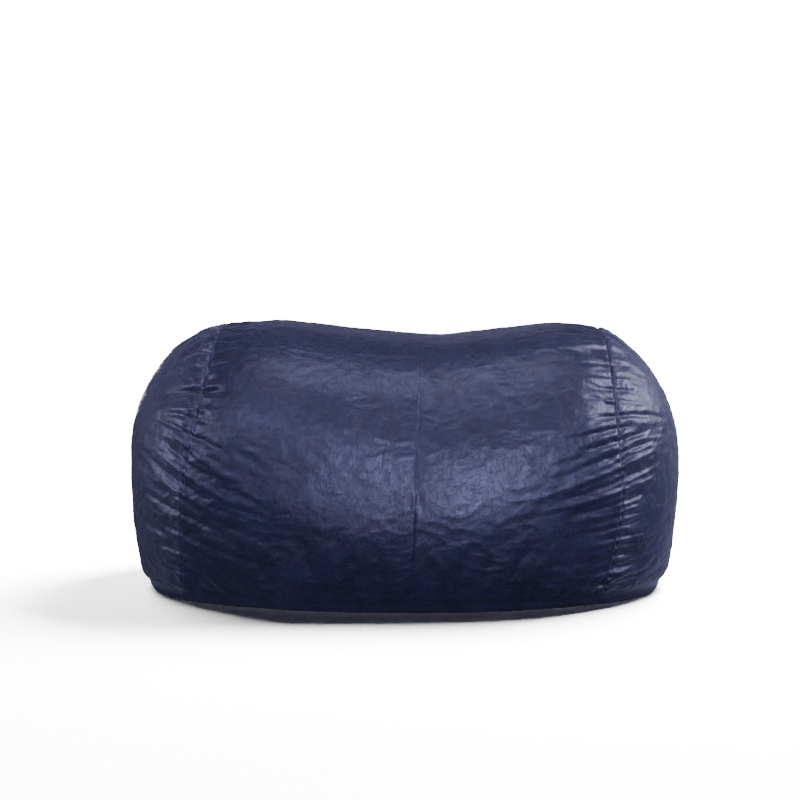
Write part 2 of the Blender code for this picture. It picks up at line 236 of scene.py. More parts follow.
def section(station):
    """A section of the form from its front foot over the top and down to its back foot.

    One of its points lies on the zip's seam, BACK_ROWS above the back foot.
    """
    z = np.concatenate([[BASE_SEAM], CURVE[CURVE[:, 2] > BASE_SEAM, 2]])
    x = station(z)
    wide = np.interp(z, CURVE[:, 2], CURVE[:, 0])
    last = int(np.argmax(np.abs(x) >= wide))
    gone = (wide[last - 1] - abs(x[last - 1])) / max(
        1e-9, wide[last - 1] - wide[last] + abs(x[last]) - abs(x[last - 1])
    )
    top = (x[last - 1], 0, z[last - 1] + min(1, gone) * (z[last] - z[last - 1]))
    x, z = x[:last], z[:last]
    front = np.stack([x, -reach_at(x, z, -1), z], 1)
    back = np.stack([x, reach_at(x, z, 1), z], 1)[::-1]
    at_zip = np.stack([np.interp(ZIP_SEAM, back[::-1, 2], column[::-1]) for column in back.T])
    over = np.vstack([front, top, back[back[:, 2] > ZIP_SEAM], at_zip])
    under = np.vstack([at_zip, back[back[:, 2] < ZIP_SEAM]])
    return np.vstack([sampled(over, 2 * UP + OVER - BACK_ROWS), sampled(under, BACK_ROWS)[1:]])


def stations(count):
    """Shares from one seam to the next, close together at the seams."""
    from_seam = np.minimum(np.arange(count), np.arange(count)[::-1])
    cell = np.minimum(1, SEAM_CELL + CELL_GROWTH * from_seam)
    return np.concatenate([[0], np.cumsum(cell) / cell.sum()])


def end_patch(side, edge):
    """The end's grid, stretched between its seam and its foot and pushed out onto the form."""
    front, top, back = edge[: UP + 1], edge[UP : UP + OVER + 1], edge[UP + OVER :][::-1]
    wide, deep = (np.interp(BASE_SEAM, CURVE[:, 2], CURVE[:, k]) for k in (0, 1))
    start = math.atan2(abs(front[0, 1]) / deep, abs(front[0, 0]) / wide)
    finish = math.atan2(abs(back[0, 1]) / (deep * BACK_SWELL), abs(back[0, 0]) / wide)
    angle = np.linspace(-start, finish, 400)
    plan = np.where(angle < 0, plan_at(BASE_SEAM, -1), plan_at(BASE_SEAM, 1))
    size = (np.abs(np.cos(angle)) ** plan + np.abs(np.sin(angle)) ** plan) ** (-1 / plan)
    y = deep * np.where(angle < 0, 1, BACK_SWELL) * np.sin(angle) * size
    foot = sampled(np.stack([side * wide * np.cos(angle) * size, y, 0 * y + BASE_SEAM], 1), OVER)
    foot[0], foot[-1] = front[0], back[0]
    u = np.linspace(0, 1, OVER + 1)[:, None, None]
    v = np.linspace(0, 1, UP + 1)[None, :, None]
    ruled = (1 - v) * foot[:, None] + v * top[:, None] + (1 - u) * front[None] + u * back[None]
    corners = (1 - u) * ((1 - v) * foot[0] + v * top[0]) + u * ((1 - v) * foot[-1] + v * top[-1])
    patch = ruled - corners
    patch[1:-1, 1:-1] = pushed_out(patch[1:-1, 1:-1], np.array([side * END_MIDDLE, 0, END_MIDDLE]))
    return patch


# The panels that the grid is cut into, in the order of their numbers.
PANELS = ("left_wrap_panel", "right_wrap_panel", "left_end_panel", "right_end_panel", "back_lower_panel")


def full_form():
    """The cover as one grid: its points, its faces, each face's panel, and the side seams' points."""
    middle = round(ACROSS * LEFT_SHARE)
    lines = [(LEFT_SEAM, CENTRE_SEAM, share) for share in stations(middle)]
    lines += [(CENTRE_SEAM, RIGHT_SEAM, share) for share in stations(ACROSS - middle)[1:]]
    wrap = np.array([
        section(lambda z: near(z) * (1 - share) + far(z) * share) for near, far, share in lines
    ])
    rows = wrap.shape[1]
    numbers = np.arange(wrap.shape[0] * rows).reshape(-1, rows)
    points = [wrap.reshape(-1, 3)]
    zip_row = rows - 1 - BACK_ROWS
    faces, panel = [], []

    def lay(grid, which, flip):
        for a in range(grid.shape[0] - 1):
            for b in range(grid.shape[1] - 1):
                face = (grid[a, b], grid[a + 1, b], grid[a + 1, b + 1], grid[a, b + 1])
                faces.append(face[::-1] if flip else face)
                panel.append(which(a, b))

    lay(numbers, lambda a, b: 4 if b >= zip_row else int(a >= middle), False)
    for side, edge in ((-1, 0), (1, -1)):
        patch = end_patch(side, wrap[edge])
        column = numbers[edge]
        grid = np.empty(patch.shape[:2], int)
        fresh = patch[1:-1, :-1]
        count = sum(len(p) for p in points)
        grid[1:-1, :-1] = count + np.arange(fresh[..., 0].size).reshape(fresh.shape[:2])
        grid[0], grid[-1] = column[: UP + 1], column[::-1][: UP + 1]
        grid[:, -1] = column[UP : UP + OVER + 1]
        points.append(fresh.reshape(-1, 3))
        lay(grid, lambda a, b, which=2 if side < 0 else 3: which, side < 0)
    points = np.vstack(points)
    points[:, 2] *= crown_share(points[:, 0], points[:, 2])
    return points, faces, panel, {"left": numbers[0], "right": numbers[-1]}


# ---- the cloth: gathered seams, puffed up by the foam -----------------------------------------

# Puckers at a side seam's front: height, slope, reach inwards and outwards, then depth and half
# width in millimetres. A pucker with a negative depth is a ridge.
LEFT_PUCKERS = [
    (0.800, -0.50, 0.010, 0.110, 7.0, 11), (0.770, -0.05, 0.060, 0.160, -4.0, 11),
    (0.735, 0.05, 0.050, 0.120, -3.0, 10), (0.688, -0.08, 0.080, 0.130, 13.0, 15),
    (0.632, 0.02, 0.070, 0.200, -5.0, 13), (0.602, -0.10, 0.080, 0.120, 4.5, 10),
    (0.550, -0.20, 0.130, 0.140, 6.0, 15), (0.515, -0.32, 0.230, 0.060, -4.5, 14),
    (0.470, -0.30, 0.160, 0.110, 4.0, 13), (0.432, -0.26, 0.220, 0.110, -4.0, 14),
    (0.395, -0.22, 0.110, 0.120, 3.5, 12), (0.365, -0.22, 0.120, 0.080, -3.5, 12),
    (0.300, -0.20, 0.150, 0.080, 2.2, 14), (0.235, -0.18, 0.160, 0.080, 2.2, 13),
    (0.170, -0.16, 0.140, 0.070, 2.0, 13), (0.105, -0.12, 0.120, 0.070, 2.0, 12),
]
RIGHT_PUCKERS = [
    (0.815, 0.40, 0.190, 0.060, -6.0, 20), (0.765, 0.30, 0.110, 0.080, 5.0, 12),
    (0.718, 0.18, 0.110, 0.060, -4.5, 11), (0.690, 0.12, 0.080, 0.110, 5.0, 9),
    (0.655, 0.10, 0.060, 0.120, -4.0, 10), (0.612, 0.16, 0.080, 0.200, 6.0, 12),
    (0.575, 0.20, 0.180, 0.060, 5.5, 13), (0.535, 0.22, 0.120, 0.150, 6.0, 12),
    (0.495, 0.24, 0.210, 0.150, 4.5, 13), (0.455, 0.23, 0.330, 0.150, -4.5, 15),
    (0.415, 0.22, 0.240, 0.140, 4.0, 12), (0.380, 0.20, 0.260, 0.120, -4.0, 13),
    (0.340, 0.19, 0.160, 0.120, 4.0, 12), (0.310, 0.18, 0.140, 0.100, -3.5, 12),
    (0.262, 0.18, 0.200, 0.110, 3.5, 13), (0.215, 0.17, 0.160, 0.110, -3.0, 13),
    (0.165, 0.16, 0.140, 0.120, 3.5, 13), (0.120, 0.20, 0.090, 0.130, 5.0, 12),
    (0.070, 0.22, 0.070, 0.140, 4.5, 11),
]
# The rest of each seam's puckers, over the top and down the back, are drawn from these ranges.
PUCKER_SPACING, PUCKER_GAPS = 0.052, (0.6, 1.5)
PUCKER_DEPTHS, PUCKER_KINDS, PUCKER_HALVES = (2.5, 7.5), (1, 1, -0.7), (10, 15)
PUCKER_REACHES, PUCKER_SLOPES = (0.07, 0.24), (-0.25, 0.25)
CREST_GAP, FOOT_GAP = 0.02, 0.03


def tree_of(points):
    """A tree that finds the nearest of these points."""
    tree = kdtree.KDTree(len(points))
    for number, point in enumerate(points):
        tree.insert(point, number)
    tree.balance()
    return tree


def nearest_away(points, targets):
    """How far each point is from the nearest target."""
    tree = tree_of(targets)
    return np.array([tree.find(point)[2] for point in points])


def seam_places(points, line):
    """How far each point is from a seam's line of points, and how far along the seam it lies."""
    tree = tree_of(line)
    found = [tree.find(point) for point in points]
    nearest = np.array([number for _, number, _ in found])
    away = np.array([distance for _, _, distance in found])
    steps = np.concatenate([[0], np.cumsum(np.linalg.norm(np.diff(line, axis=0), axis=1))])
    tangent = np.gradient(line, axis=0)
    tangent /= np.linalg.norm(tangent, axis=1, keepdims=True)
    offset = points - line[nearest]
    along = steps[nearest] + np.einsum("ij,ij->i", offset, tangent[nearest])
    return away, along, steps


def puckers_all_round(front, line, steps, rng):
    """The front's puckers, and more of the same kind over the top and down the back."""
    rising = line[: np.argmax(line[:, 2])]
    rows = [(np.interp(row[0], rising[:, 2], steps[: len(rising)]), *row[1:]) for row in front]
    place = steps[len(rising)] + CREST_GAP
    while place < steps[-1] - FOOT_GAP:
        depth = rng.uniform(*PUCKER_DEPTHS) * rng.choice(PUCKER_KINDS)
        reach = rng.uniform(*PUCKER_REACHES, 2)
        rows.append((place, rng.uniform(*PUCKER_SLOPES), *reach, depth, rng.uniform(*PUCKER_HALVES)))
        place += PUCKER_SPACING * rng.uniform(*PUCKER_GAPS)
    return rows


def pucker_depth(away, along, inwards, rows):
    """How far the puckers push each point in.

    Each is a crisp fold with a soft swell on both sides. It dies out and widens away from the seam,
    and its stitches hold it a little shallower at the seam itself.
    """
    depth = np.zeros(len(away))
    signed = np.where(inwards, away, -away)
    near_seam = 1 - 0.4 * np.exp(-((away / (6 * MM)) ** 2))
    for place, slope, reach_in, reach_out, deep, half_width in rows:
        reach = np.where(inwards, reach_in, reach_out)
        fade = np.clip(1 - (away / (1.35 * reach)) ** 2, 0, 1) ** 1.3
        narrow = half_width * MM * (0.75 + 0.7 * away / reach)
        offset = np.abs(along - place - slope * signed) / narrow
        fold = 1.5 * np.exp(-1.5 * offset**1.35) - 0.5 * np.exp(-0.45 * offset**2)
        depth += deep * MM * fade * near_seam * fold
    return depth


# Each side seam: which way along the bag is inwards, its line, its puckers and how its fine creases slope.
SIDES = {"left": (1, LEFT_SEAM, LEFT_PUCKERS, -0.22), "right": (-1, RIGHT_SEAM, RIGHT_PUCKERS, 0.20)}


def beside_seam(points, lines, name):
    """How far each point is from a side seam and along it, and whether it is on the wraps' side."""
    side, seam = SIDES[name][:2]
    away, along, _ = seam_places(points, lines[name])
    return away, along, (points[:, 0] - seam(points[:, 2])) * side > 0


def gathered(points, lines, rows):
    """How far the puckers of both side seams push each point in."""
    depth = np.zeros(len(points))
    for name in SIDES:
        depth += pucker_depth(*beside_seam(points, lines, name), rows[name])
    return depth


def pucker_rows(lines):
    """Every pucker of both side seams, by its place along its seam."""
    rng = np.random.default_rng(SEED)
    rows = {}
    for name, (side, _, front, _) in SIDES.items():
        steps = seam_places(lines[name][:2], lines[name])[2]
        every = puckers_all_round(front, lines[name], steps, rng)
        rows[name] = [(place, slope * side, *rest) for place, slope, *rest in every]
    return rows


def to_mesh(name, points, faces, marks=None):
    """A smooth mesh of these points and faces, with the marks as its faces' material numbers."""
    mesh = bpy.data.meshes.new(name)
    mesh.from_pydata(np.asarray(points).tolist(), [], [tuple(map(int, f)) for f in faces])
    if marks is not None:
        mesh.polygons.foreach_set("material_index", marks)
    mesh.shade_smooth()
    mesh.update()
    return mesh


def to_object(name, mesh):
    piece = bpy.data.objects.new(name, mesh)
    bpy.context.scene.collection.objects.link(piece)
    return piece


def from_bmesh(name, bm):
    mesh = bpy.data.meshes.new(name)
    bm.to_mesh(mesh)
    bm.free()
    return mesh


def read_all(items, what, width, kind=float):
    """One value of every item of a mesh, a row for each item."""
    flat = np.empty(len(items) * width, kind)
    items.foreach_get(what, flat)
    return flat.reshape(-1, width)


def mesh_points(mesh):
    return read_all(mesh.vertices, "co", 3)


def mesh_normals(mesh):
    return read_all(mesh.vertex_normals, "vector", 3)


def face_panels(mesh):
    """Each face's panel, and its four corners."""
    panel = read_all(mesh.polygons, "material_index", 1, int)[:, 0]
    return panel, read_all(mesh.loops, "vertex_index", 1, int).reshape(-1, 4)


def smoothed(values, edges, passes):
    """Values averaged over their neighbours again and again: what is left is their slow part."""
    count = len(values)
    ends = np.concatenate([edges[:, 0], edges[:, 1]])
    others = np.concatenate([edges[:, 1], edges[:, 0]])
    share = 1 / np.maximum(np.bincount(ends, minlength=count), 1)
    for _ in range(passes):
        pulled = [np.bincount(ends, column[others], count) * share for column in values.T]
        values = (values + np.stack(pulled, 1)) / 2
    return values


# The simulation's steps, how much smaller its cloth starts and about which point, how far its
# gathers reach, and the furthest that any point may end up from the form.
FRAMES = 20
SLACK = 0.985
CLOTH_MIDDLE = np.array([0, 0, 0.4])
GATHER_HALF = 4 * MM
MOST_MOVED = 20 * MM
# How often the cloth's movement is averaged to find its slow part, which is left out.
SLOW_PASSES = 160
# How much of the even trough along a seam is taken out again, in bands out to where it ends.
TROUGH_OUT, TROUGH_BAND, TROUGH_REACH = 0.85, 0.009, 0.36
TROUGH_ENDS, TROUGH_FADE = 0.33, 0.1
# How much of the puckers is sculpted again after the simulation, which softens them.
SCULPTED_AGAIN = 1.1
# How near the zip, the label and the foot the cloth lies calm.
CALM_REACH, CALM_FADE, FOOT_FADE = 0.015, 0.06, 0.05


def puffed(mesh, gather, pinned):
    """The mesh's points after the foam has pressed it out as cloth, with its seams drawn up."""
    piece = to_object("cloth", mesh)
    for name, weights in (("gather", gather), ("pinned", pinned)):
        group = piece.vertex_groups.new(name=name)
        for number in np.flatnonzero(weights > 0.01):
            group.add([int(number)], float(weights[number]), "REPLACE")
    cloth = piece.modifiers.new("cloth", "CLOTH")
    stuff = cloth.settings
    stuff.quality = 4
    stuff.mass = 0.3
    stuff.tension_stiffness = stuff.compression_stiffness = 25
    stuff.shear_stiffness = 8
    stuff.bending_stiffness = 0.3
    stuff.tension_damping = stuff.compression_damping = stuff.shear_damping = 10
    stuff.bending_damping = 0.5
    stuff.air_damping = 3
    stuff.use_pressure = True
    stuff.uniform_pressure_force = 6
    stuff.vertex_group_mass = "pinned"
    stuff.vertex_group_shrink = "gather"
    stuff.shrink_min = -0.05
    stuff.shrink_max = 0.05
    stuff.effector_weights.gravity = 0
    cloth.collision_settings.use_collision = False
    cloth.point_cache.frame_end = FRAMES + 1
    for step in range(1, FRAMES + 1):
        bpy.context.scene.frame_set(step)
    seen = piece.evaluated_get(bpy.context.evaluated_depsgraph_get())
    points = mesh_points(seen.data)
    bpy.data.objects.remove(piece)
    bpy.context.scene.frame_set(1)
    return points


def level_seams(fine, normals, away):
    """Takes out the even trough that the gathers leave along a seam, and keeps their puckers."""
    sunk = np.einsum("ij,ij->i", fine, normals)
    places = np.arange(0, TROUGH_REACH, TROUGH_BAND)
    band = np.minimum((away / TROUGH_BAND + 0.5).astype(int), len(places) - 1)
    count = np.maximum(np.bincount(band, minlength=len(places)), 1)
    trough = np.bincount(band, sunk, len(places)) / count
    even = np.interp(away, places, trough) * TROUGH_OUT * ease((TROUGH_ENDS - away) / TROUGH_FADE)
    return fine - normals * even[:, None]


def sewn_cover():
    """The whole cover as one mesh with its panels marked, its side seams' points and its puckers."""
    points, faces, panel, seams = full_form()
    mesh = to_mesh("cover", points, faces, panel)
    normals, edges = mesh_normals(mesh), read_all(mesh.edges, "vertices", 2, int)
    lines = {name: points[numbers] for name, numbers in seams.items()}
    rows = pucker_rows(lines)
    pushed = gathered(points, lines, rows)
    near_seams = nearest_away(points, np.vstack(list(lines.values())))
    still = calm_places(points)
    start = points - normals * (pushed * still)[:, None]
    slack = CLOTH_MIDDLE + (start - CLOTH_MIDDLE) * SLACK
    mesh.vertices.foreach_set("co", slack.ravel())
    mesh.update()
    gather = np.exp(-((near_seams / GATHER_HALF) ** 2))
    pinned = (points[:, 2] < BASE_SEAM + MM).astype(float)
    moved = puffed(mesh, gather, pinned)
    drift = moved - (CLOTH_MIDDLE + (points - CLOTH_MIDDLE) * SLACK)
    fine = level_seams(drift - smoothed(drift, edges, SLOW_PASSES), normals, near_seams)
    length = np.linalg.norm(fine, axis=1, keepdims=True)
    fine *= np.minimum(1, MOST_MOVED / np.maximum(length, 1e-9))
    start = points + fine * still[:, None]
    mesh.vertices.foreach_set("co", start.ravel())
    mesh.update()
    return mesh, {name: start[numbers] for name, numbers in seams.items()}, rows


def calm_places(points):
    """1 where the cloth may crumple, falling to 0 along the zip, at the label and at the foot."""
    low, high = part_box("care_label")
    sideways = np.abs(points[:, 0] - (low.x + high.x) / 2) - (high.x - low.x) / 2
    upwards = np.abs(points[:, 2] - (low.z + high.z) / 2) - (high.z - low.z) / 2
    to_label = np.hypot(np.maximum(sideways, 0), np.maximum(upwards, 0))
    near = np.minimum(zip_distance(points), to_label)
    at_back = np.where(points[:, 1] > 0, ease((near - CALM_REACH) / CALM_FADE), 1.0)
    return at_back * ease((points[:, 2] - BASE_SEAM) / FOOT_FADE)


def subdivided(mesh):
    """The mesh with each face split in four and smoothed."""
    piece = to_object("fine_cloth", mesh)
    piece.modifiers.new("finer", "SUBSURF").levels = 1
    seen = piece.evaluated_get(bpy.context.evaluated_depsgraph_get())
    fine = bpy.data.meshes.new_from_object(seen)
    bpy.data.objects.remove(piece)
    return fine


# The crumples: how many a metre along and up the bag, and how many millimetres they lift the cloth.
LUMPS, LUMP_LIFT = 6.5, 3.0
CREASES_ALONG, CREASES_UP, CREASE_LIFT = 13, 19, 2.4
FINE_ALONG, FINE_UP, FINE_LIFT = 34, 46, 1.5
# What bends the creases: how many bends a metre, and how far each goes.
BENDS, BEND_REACH = 9, 0.05


def crumpled(point):
    """How far the pressed, crushed pile and the lumps of foam under it lift this point."""
    lump = noise.noise(point * LUMPS) * LUMP_LIFT
    bent = point + noise.noise_vector(point * BENDS) * BEND_REACH
    place = Vector((bent.x * CREASES_ALONG, bent.y * CREASES_ALONG, bent.z * CREASES_UP))
    crease = 0.45 - abs(noise.noise(place)) * 2.2
    place = Vector((bent.x * FINE_ALONG + 7, bent.y * FINE_ALONG, bent.z * FINE_UP))
    fine = 0.4 - abs(noise.noise(place)) * 2
    return (lump + max(crease, -0.25) * CREASE_LIFT + max(fine, -0.2) * FINE_LIFT) * MM


# How far the fine creases go from their seam, how many a metre along the seam, and how many
# millimetres deep the long and the short ones are.
GATHER_REACH = 0.46
LONG_CREASES, LONG_DEPTH = 34, 8.0
SHORT_CREASES, SHORT_DEPTH = 74, 4.0


def fine_gathers(points, lines):
    """The thin, crisp creases that run across the side seams and die out along the cloth."""
    depth = np.zeros(len(points))
    for name, (side, _, _, slope) in SIDES.items():
        away, along, inwards = beside_seam(points, lines, name)
        signed = np.where(inwards, away, -away) * side
        for number in np.flatnonzero(away < GATHER_REACH):
            u, v = signed[number], along[number]
            drop = v - slope * u
            long = noise.noise(Vector((u * 6.5, drop * LONG_CREASES, side * 5 + drop * 2)))
            short = noise.noise(Vector((u * 13, drop * SHORT_CREASES, side * 9)))
            fade = 1 - away[number] / GATHER_REACH
            patch = 0.6 + 0.9 * noise.noise(Vector((u * 3, v * 5, 3)))
            crease = (0.32 - abs(long) * 1.5) * LONG_DEPTH + (0.25 - abs(short) * 1.2) * SHORT_DEPTH
            depth[number] += crease * MM * fade * max(0.15, patch)
    return depth


# How deep the side seams and the centre seam are drawn in, and how wide the dip is.
SEAM_DIP, CENTRE_DIP, SEAM_HALF = 4.0 * MM, 0.5 * MM, 3.0 * MM
# Points nearer than this to the centre seam get its dip, and the others get a side seam's.
CENTRE_NEAR = 0.02
# How far beside a seam its stitches still hold the crumples down.
HELD_REACH = 0.012
# The two allowances of cloth inside the centre seam lift it a little, this far to each side.
ALLOWANCE_LIFT, ALLOWANCE_HALF = 0.9 * MM, 10 * MM
# How far the cover's lower edge tucks in under it, and how far up.
EDGE_TUCK, TUCK_REACH = 8 * MM, 20 * MM


def dressed_cover():
    """The cover's mesh with its crumples, and its seams drawn in."""
    coarse, lines, rows = sewn_cover()
    mesh = subdivided(coarse)
    points, normals = mesh_points(mesh), mesh_normals(mesh)
    panel, corners = face_panels(mesh)
    # The lowest and the highest number of the panels round each point: they differ at a seam.
    first = np.full(len(points), len(PANELS))
    last = np.full(len(points), -1)
    for corner in corners.T:
        np.minimum.at(first, corner, panel)
        np.maximum.at(last, corner, panel)
    centre = (first == 0) & (last == 1)
    still = calm_places(points)
    away = nearest_away(points, points[first != last])
    lift = np.array([crumpled(Vector(point)) for point in points])
    lift += fine_gathers(points, lines)
    lift *= 1 - 0.5 * np.exp(-((away / HELD_REACH) ** 2))
    lift -= gathered(points, lines, rows) * SCULPTED_AGAIN
    lift *= still
    to_centre = nearest_away(points, points[centre])
    dip = np.where(to_centre < CENTRE_NEAR, CENTRE_DIP, SEAM_DIP)
    lift -= dip * np.exp(-((away / SEAM_HALF) ** 2)) * still
    lift += ALLOWANCE_LIFT * (1 - ease((to_centre / ALLOWANCE_HALF - 0.8) / 0.4)) * still
    lift -= EDGE_TUCK * np.exp(-(((points[:, 2] - BASE_SEAM) / TUCK_REACH) ** 2))
    moved = points + normals * lift[:, None]
    at_foot = points[:, 2] < BASE_SEAM + 0.5 * MM
    moved[at_foot, 2] = BASE_SEAM
    mesh.vertices.foreach_set("co", moved.ravel())
    mesh.update()
    return mesh


def zip_distance(points):
    """How far each point is from the cover's zip, seen from behind."""
    sideways = np.maximum(np.abs(points[:, 0]) - ZIP_REACH, 0)
    return np.hypot(sideways, points[:, 2] - ZIP_SEAM)


def cut_slot(mesh, face, height):
    """Cuts the opening for a zip out of a panel, where the panel reaches it."""
    bm = bmesh.new()
    bm.from_mesh(mesh)
    sides = [(Vector((0, 0, height + side * SLOT_HALF)), Vector((0, 0, 1))) for side in (-1, 1)]
    sides += [(Vector((side * ZIP_REACH, 0, 0)), Vector((1, 0, 0))) for side in (-1, 1)]
    for place, normal in sides:
        near = [f for f in bm.faces if f.calc_center_median().y > face - 0.05
                and abs(f.calc_center_median().z - height) < 0.03]
        edges = dict.fromkeys(e for f in near for e in f.edges)
        corners = dict.fromkeys(v for f in near for v in f.verts)
        bmesh.ops.bisect_plane(bm, geom=[*near, *edges, *corners], dist=0.2 * MM, plane_co=place,
                               plane_no=normal)
    gone = []
    for part in bm.faces:
        middle = part.calc_center_median()
        if middle.y > face - 0.05 and abs(middle.z - height) < SLOT_HALF and abs(middle.x) < ZIP_REACH:
            gone.append(part)
    bmesh.ops.delete(bm, geom=gone, context="FACES")
    bm.to_mesh(mesh)
    bm.free()
    mesh.shade_smooth()


def thick_cloth(piece, thickness):
    """Gives a piece its cloth's thickness, with clean cut edges."""
    bm = bmesh.new()
    bm.from_mesh(piece.data)
    for edge in bm.edges:
        edge.smooth = not edge.is_boundary
    bm.to_mesh(piece.data)
    bm.free()
    cloth = piece.modifiers.new("cloth", "SOLIDIFY")
    cloth.thickness = thickness
    cloth.offset = -1


def cut_panel(mesh, which, name):
    """One panel cut out of the cover, as its own piece of plush."""
    panel, corners = face_panels(mesh)
    corners = corners[panel == which]
    used, fresh = np.unique(corners, return_inverse=True)
    piece = to_object(name, to_mesh(name, mesh_points(mesh)[used], fresh.reshape(-1, 4)))
    if which in (0, 1, 4):
        cut_slot(piece.data, BACK_FLAT, ZIP_SEAM)
    thick_cloth(piece, PLUSH)
    return piece


def foot_loop(mesh):
    """The cover's lower edge as a loop of points."""
    points = mesh_points(mesh)
    rim = points[np.abs(points[:, 2] - BASE_SEAM) < 0.01 * MM]
    turn = np.arctan2(rim[:, 1] / FRONT_DEPTH, rim[:, 0] / HALF_WIDTH)
    return rim[np.argsort(turn)]


# The base's edge from its seam down: how far out it stands in millimetres, and its height as a
# share of the seam's. Then the sole's rings, as shares of its outline.
BASE_EDGE = [(0.0, 1.0), (-1.2, 0.84), (-3.4, 0.60), (-6.6, 0.36), (-10.5, 0.14), (-16.0, 0.0)]
SOLE_RINGS = (0.985, 0.95, 0.88, 0.75, 0.58, 0.38, 0.18)


def base_cover(rim):
    """The base: a sole on the floor, whose edge turns up to the seam."""
    outward = np.roll(rim, -1, 0) - np.roll(rim, 1, 0)
    outward = np.stack([outward[:, 1], -outward[:, 0], 0 * outward[:, 0]], 1)
    outward /= np.linalg.norm(outward, axis=1, keepdims=True)
    loops = []
    for out, up in BASE_EDGE:
        loop = rim + outward * out * MM
        loop[:, 2] = BASE_SEAM * up
        loops.append(loop)
    for share in SOLE_RINGS:
        loops.append(loops[len(BASE_EDGE) - 1] * (share, share, 1))
    points = np.vstack(loops + [np.zeros((1, 3))])
    count, total = len(rim), len(loops)
    faces = []
    for row in range(total - 1):
        near, far = row * count, (row + 1) * count
        for k in range(count):
            after = (k + 1) % count
            faces.append((near + k, far + k, far + after, near + after))
    centre = count * total
    last = centre - count
    faces += [(last + k, centre, last + (k + 1) % count) for k in range(count)]
    piece = to_object("base_cover", to_mesh("base_cover", points, faces))
    thick_cloth(piece, PLUSH)
    return piece


# ---- inside: the liner and the foam -----------------------------------------------------------

LINER_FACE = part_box("liner_left_half")[1].y
LINER_ZIP = sum(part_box("liner_zip_bottom_stop")[k].z for k in (0, 1)) / 2
# Cells along, across and up an inner body, and the point that it is pushed out from.
INNER_FACETS = (64, 44, 34)
INNER_MIDDLE = np.array([0, 0, 0.36])
# How far the liner and the foam lie inside the cover, and how much nearer they may come at the back.
LINER_INSET, FOAM_INSET, BACK_NEARER = 26 * MM, 37 * MM, 3 * MM
TAFFETA = 1.2 * MM
# The taffeta's creases: how many a metre along and up, how deep, and how far from its zip they end.
TAFFETA_ALONG, TAFFETA_UP, TAFFETA_DEPTH, TAFFETA_CALM = 9, 14, 4, 0.07
# The foam's crumbs and lumps a metre, and the lumps' depth.
CRUMBS, FOAM_LUMPS, FOAM_DEPTH = 24, 7, 4


def inner_body(inset, lift):
    """A closed body inside the cover, with its own creases or lumps from lift."""
    bm = bmesh.new()
    bmesh.ops.create_cube(bm, size=2)
    for axis, count in enumerate(INNER_FACETS):
        normal = Vector((0, 0, 0))
        normal[axis] = 1
        for step in range(1, count):
            everything = bm.verts[:] + bm.edges[:] + bm.faces[:]
            place = normal * (2 * step / count - 1)
            bmesh.ops.bisect_plane(bm, geom=everything, dist=1e-6, plane_co=place, plane_no=normal)
    block = np.array([v.co for v in bm.verts]) * (HALF_WIDTH, FRONT_DEPTH, HEIGHT / 2)
    points = pushed_out(INNER_MIDDLE + block, INNER_MIDDLE)
    points[:, 2] *= crown_share(points[:, 0], points[:, 2])
    for vert, point in zip(bm.verts, points):
        vert.co = point
    bm.normal_update()
    moved = [v.co + v.normal * (lift(v.co) - inset) for v in bm.verts]
    for vert, point in zip(bm.verts, moved):
        vert.co = (point.x, min(point.y, BACK_FLAT - inset + BACK_NEARER), max(point.z, inset))
    return bm


def taffeta_crease(point):
    """How far the liner's creases lift it; round its zip it is pulled flat and out to its face."""
    bent = point + noise.noise_vector(point * 6) * 0.08
    place = Vector((bent.x * TAFFETA_ALONG, bent.y * TAFFETA_ALONG, bent.z * TAFFETA_UP))
    crease = 0.4 - abs(noise.noise(place)) * 2
    to_zip = math.hypot(max(abs(point.x) - ZIP_REACH, 0), point.z - LINER_ZIP)
    flat = math.exp(-((to_zip / TAFFETA_CALM) ** 4)) if point.y > 0.4 else 0
    reach = LINER_INSET - (BACK_FLAT - LINER_FACE)
    return max(crease, -0.5) * TAFFETA_DEPTH * MM * (1 - flat) + reach * flat


def foam_lump(point):
    """How far the foam's crumbs and lumps lift its surface."""
    crumbs, _ = noise.voronoi(point * CRUMBS)
    return (2 - 7 * crumbs[0]) * MM + noise.noise(point * FOAM_LUMPS) * FOAM_DEPTH * MM


def liner_half(name, side):
    """The liner's left (side -1) or right (side 1) half, cut open for its zip."""
    bm = inner_body(LINER_INSET, taffeta_crease)
    everything = bm.verts[:] + bm.edges[:] + bm.faces[:]
    bmesh.ops.bisect_plane(bm, geom=everything, dist=1e-6, plane_co=(side * 0.3 * MM, 0, 0),
                           plane_no=(-side, 0, 0), clear_outer=True)
    mesh = from_bmesh(name, bm)
    cut_slot(mesh, LINER_FACE, LINER_ZIP)
    piece = to_object(name, mesh)
    thick_cloth(piece, TAFFETA)
    return piece


def foam_heap(name):
    mesh = from_bmesh(name, inner_body(FOAM_INSET, foam_lump))
    mesh.shade_smooth()
    return to_object(name, mesh)


# ---- the materials ----------------------------------------------------------------------------


def colour(hexa):
    """An sRGB hex colour as linear red, green, blue and alpha."""
    shares = [int(hexa[k : k + 2], 16) / 255 for k in (1, 3, 5)]
    linear = [s / 12.92 if s <= 0.04045 else ((s + 0.055) / 1.055) ** 2.4 for s in shares]
    return (*linear, 1.0)


def node(tree, kind, values=(), links=(), **settings):
    """Adds a node with its settings, its sockets' values and its links."""
    made = tree.nodes.new(kind)
    for name, value in settings.items():
        setattr(made, name, value)
    for socket, value in values:
        made.inputs[socket].default_value = value
    for socket, source in links:
        tree.links.new(source, made.inputs[socket])
    return made


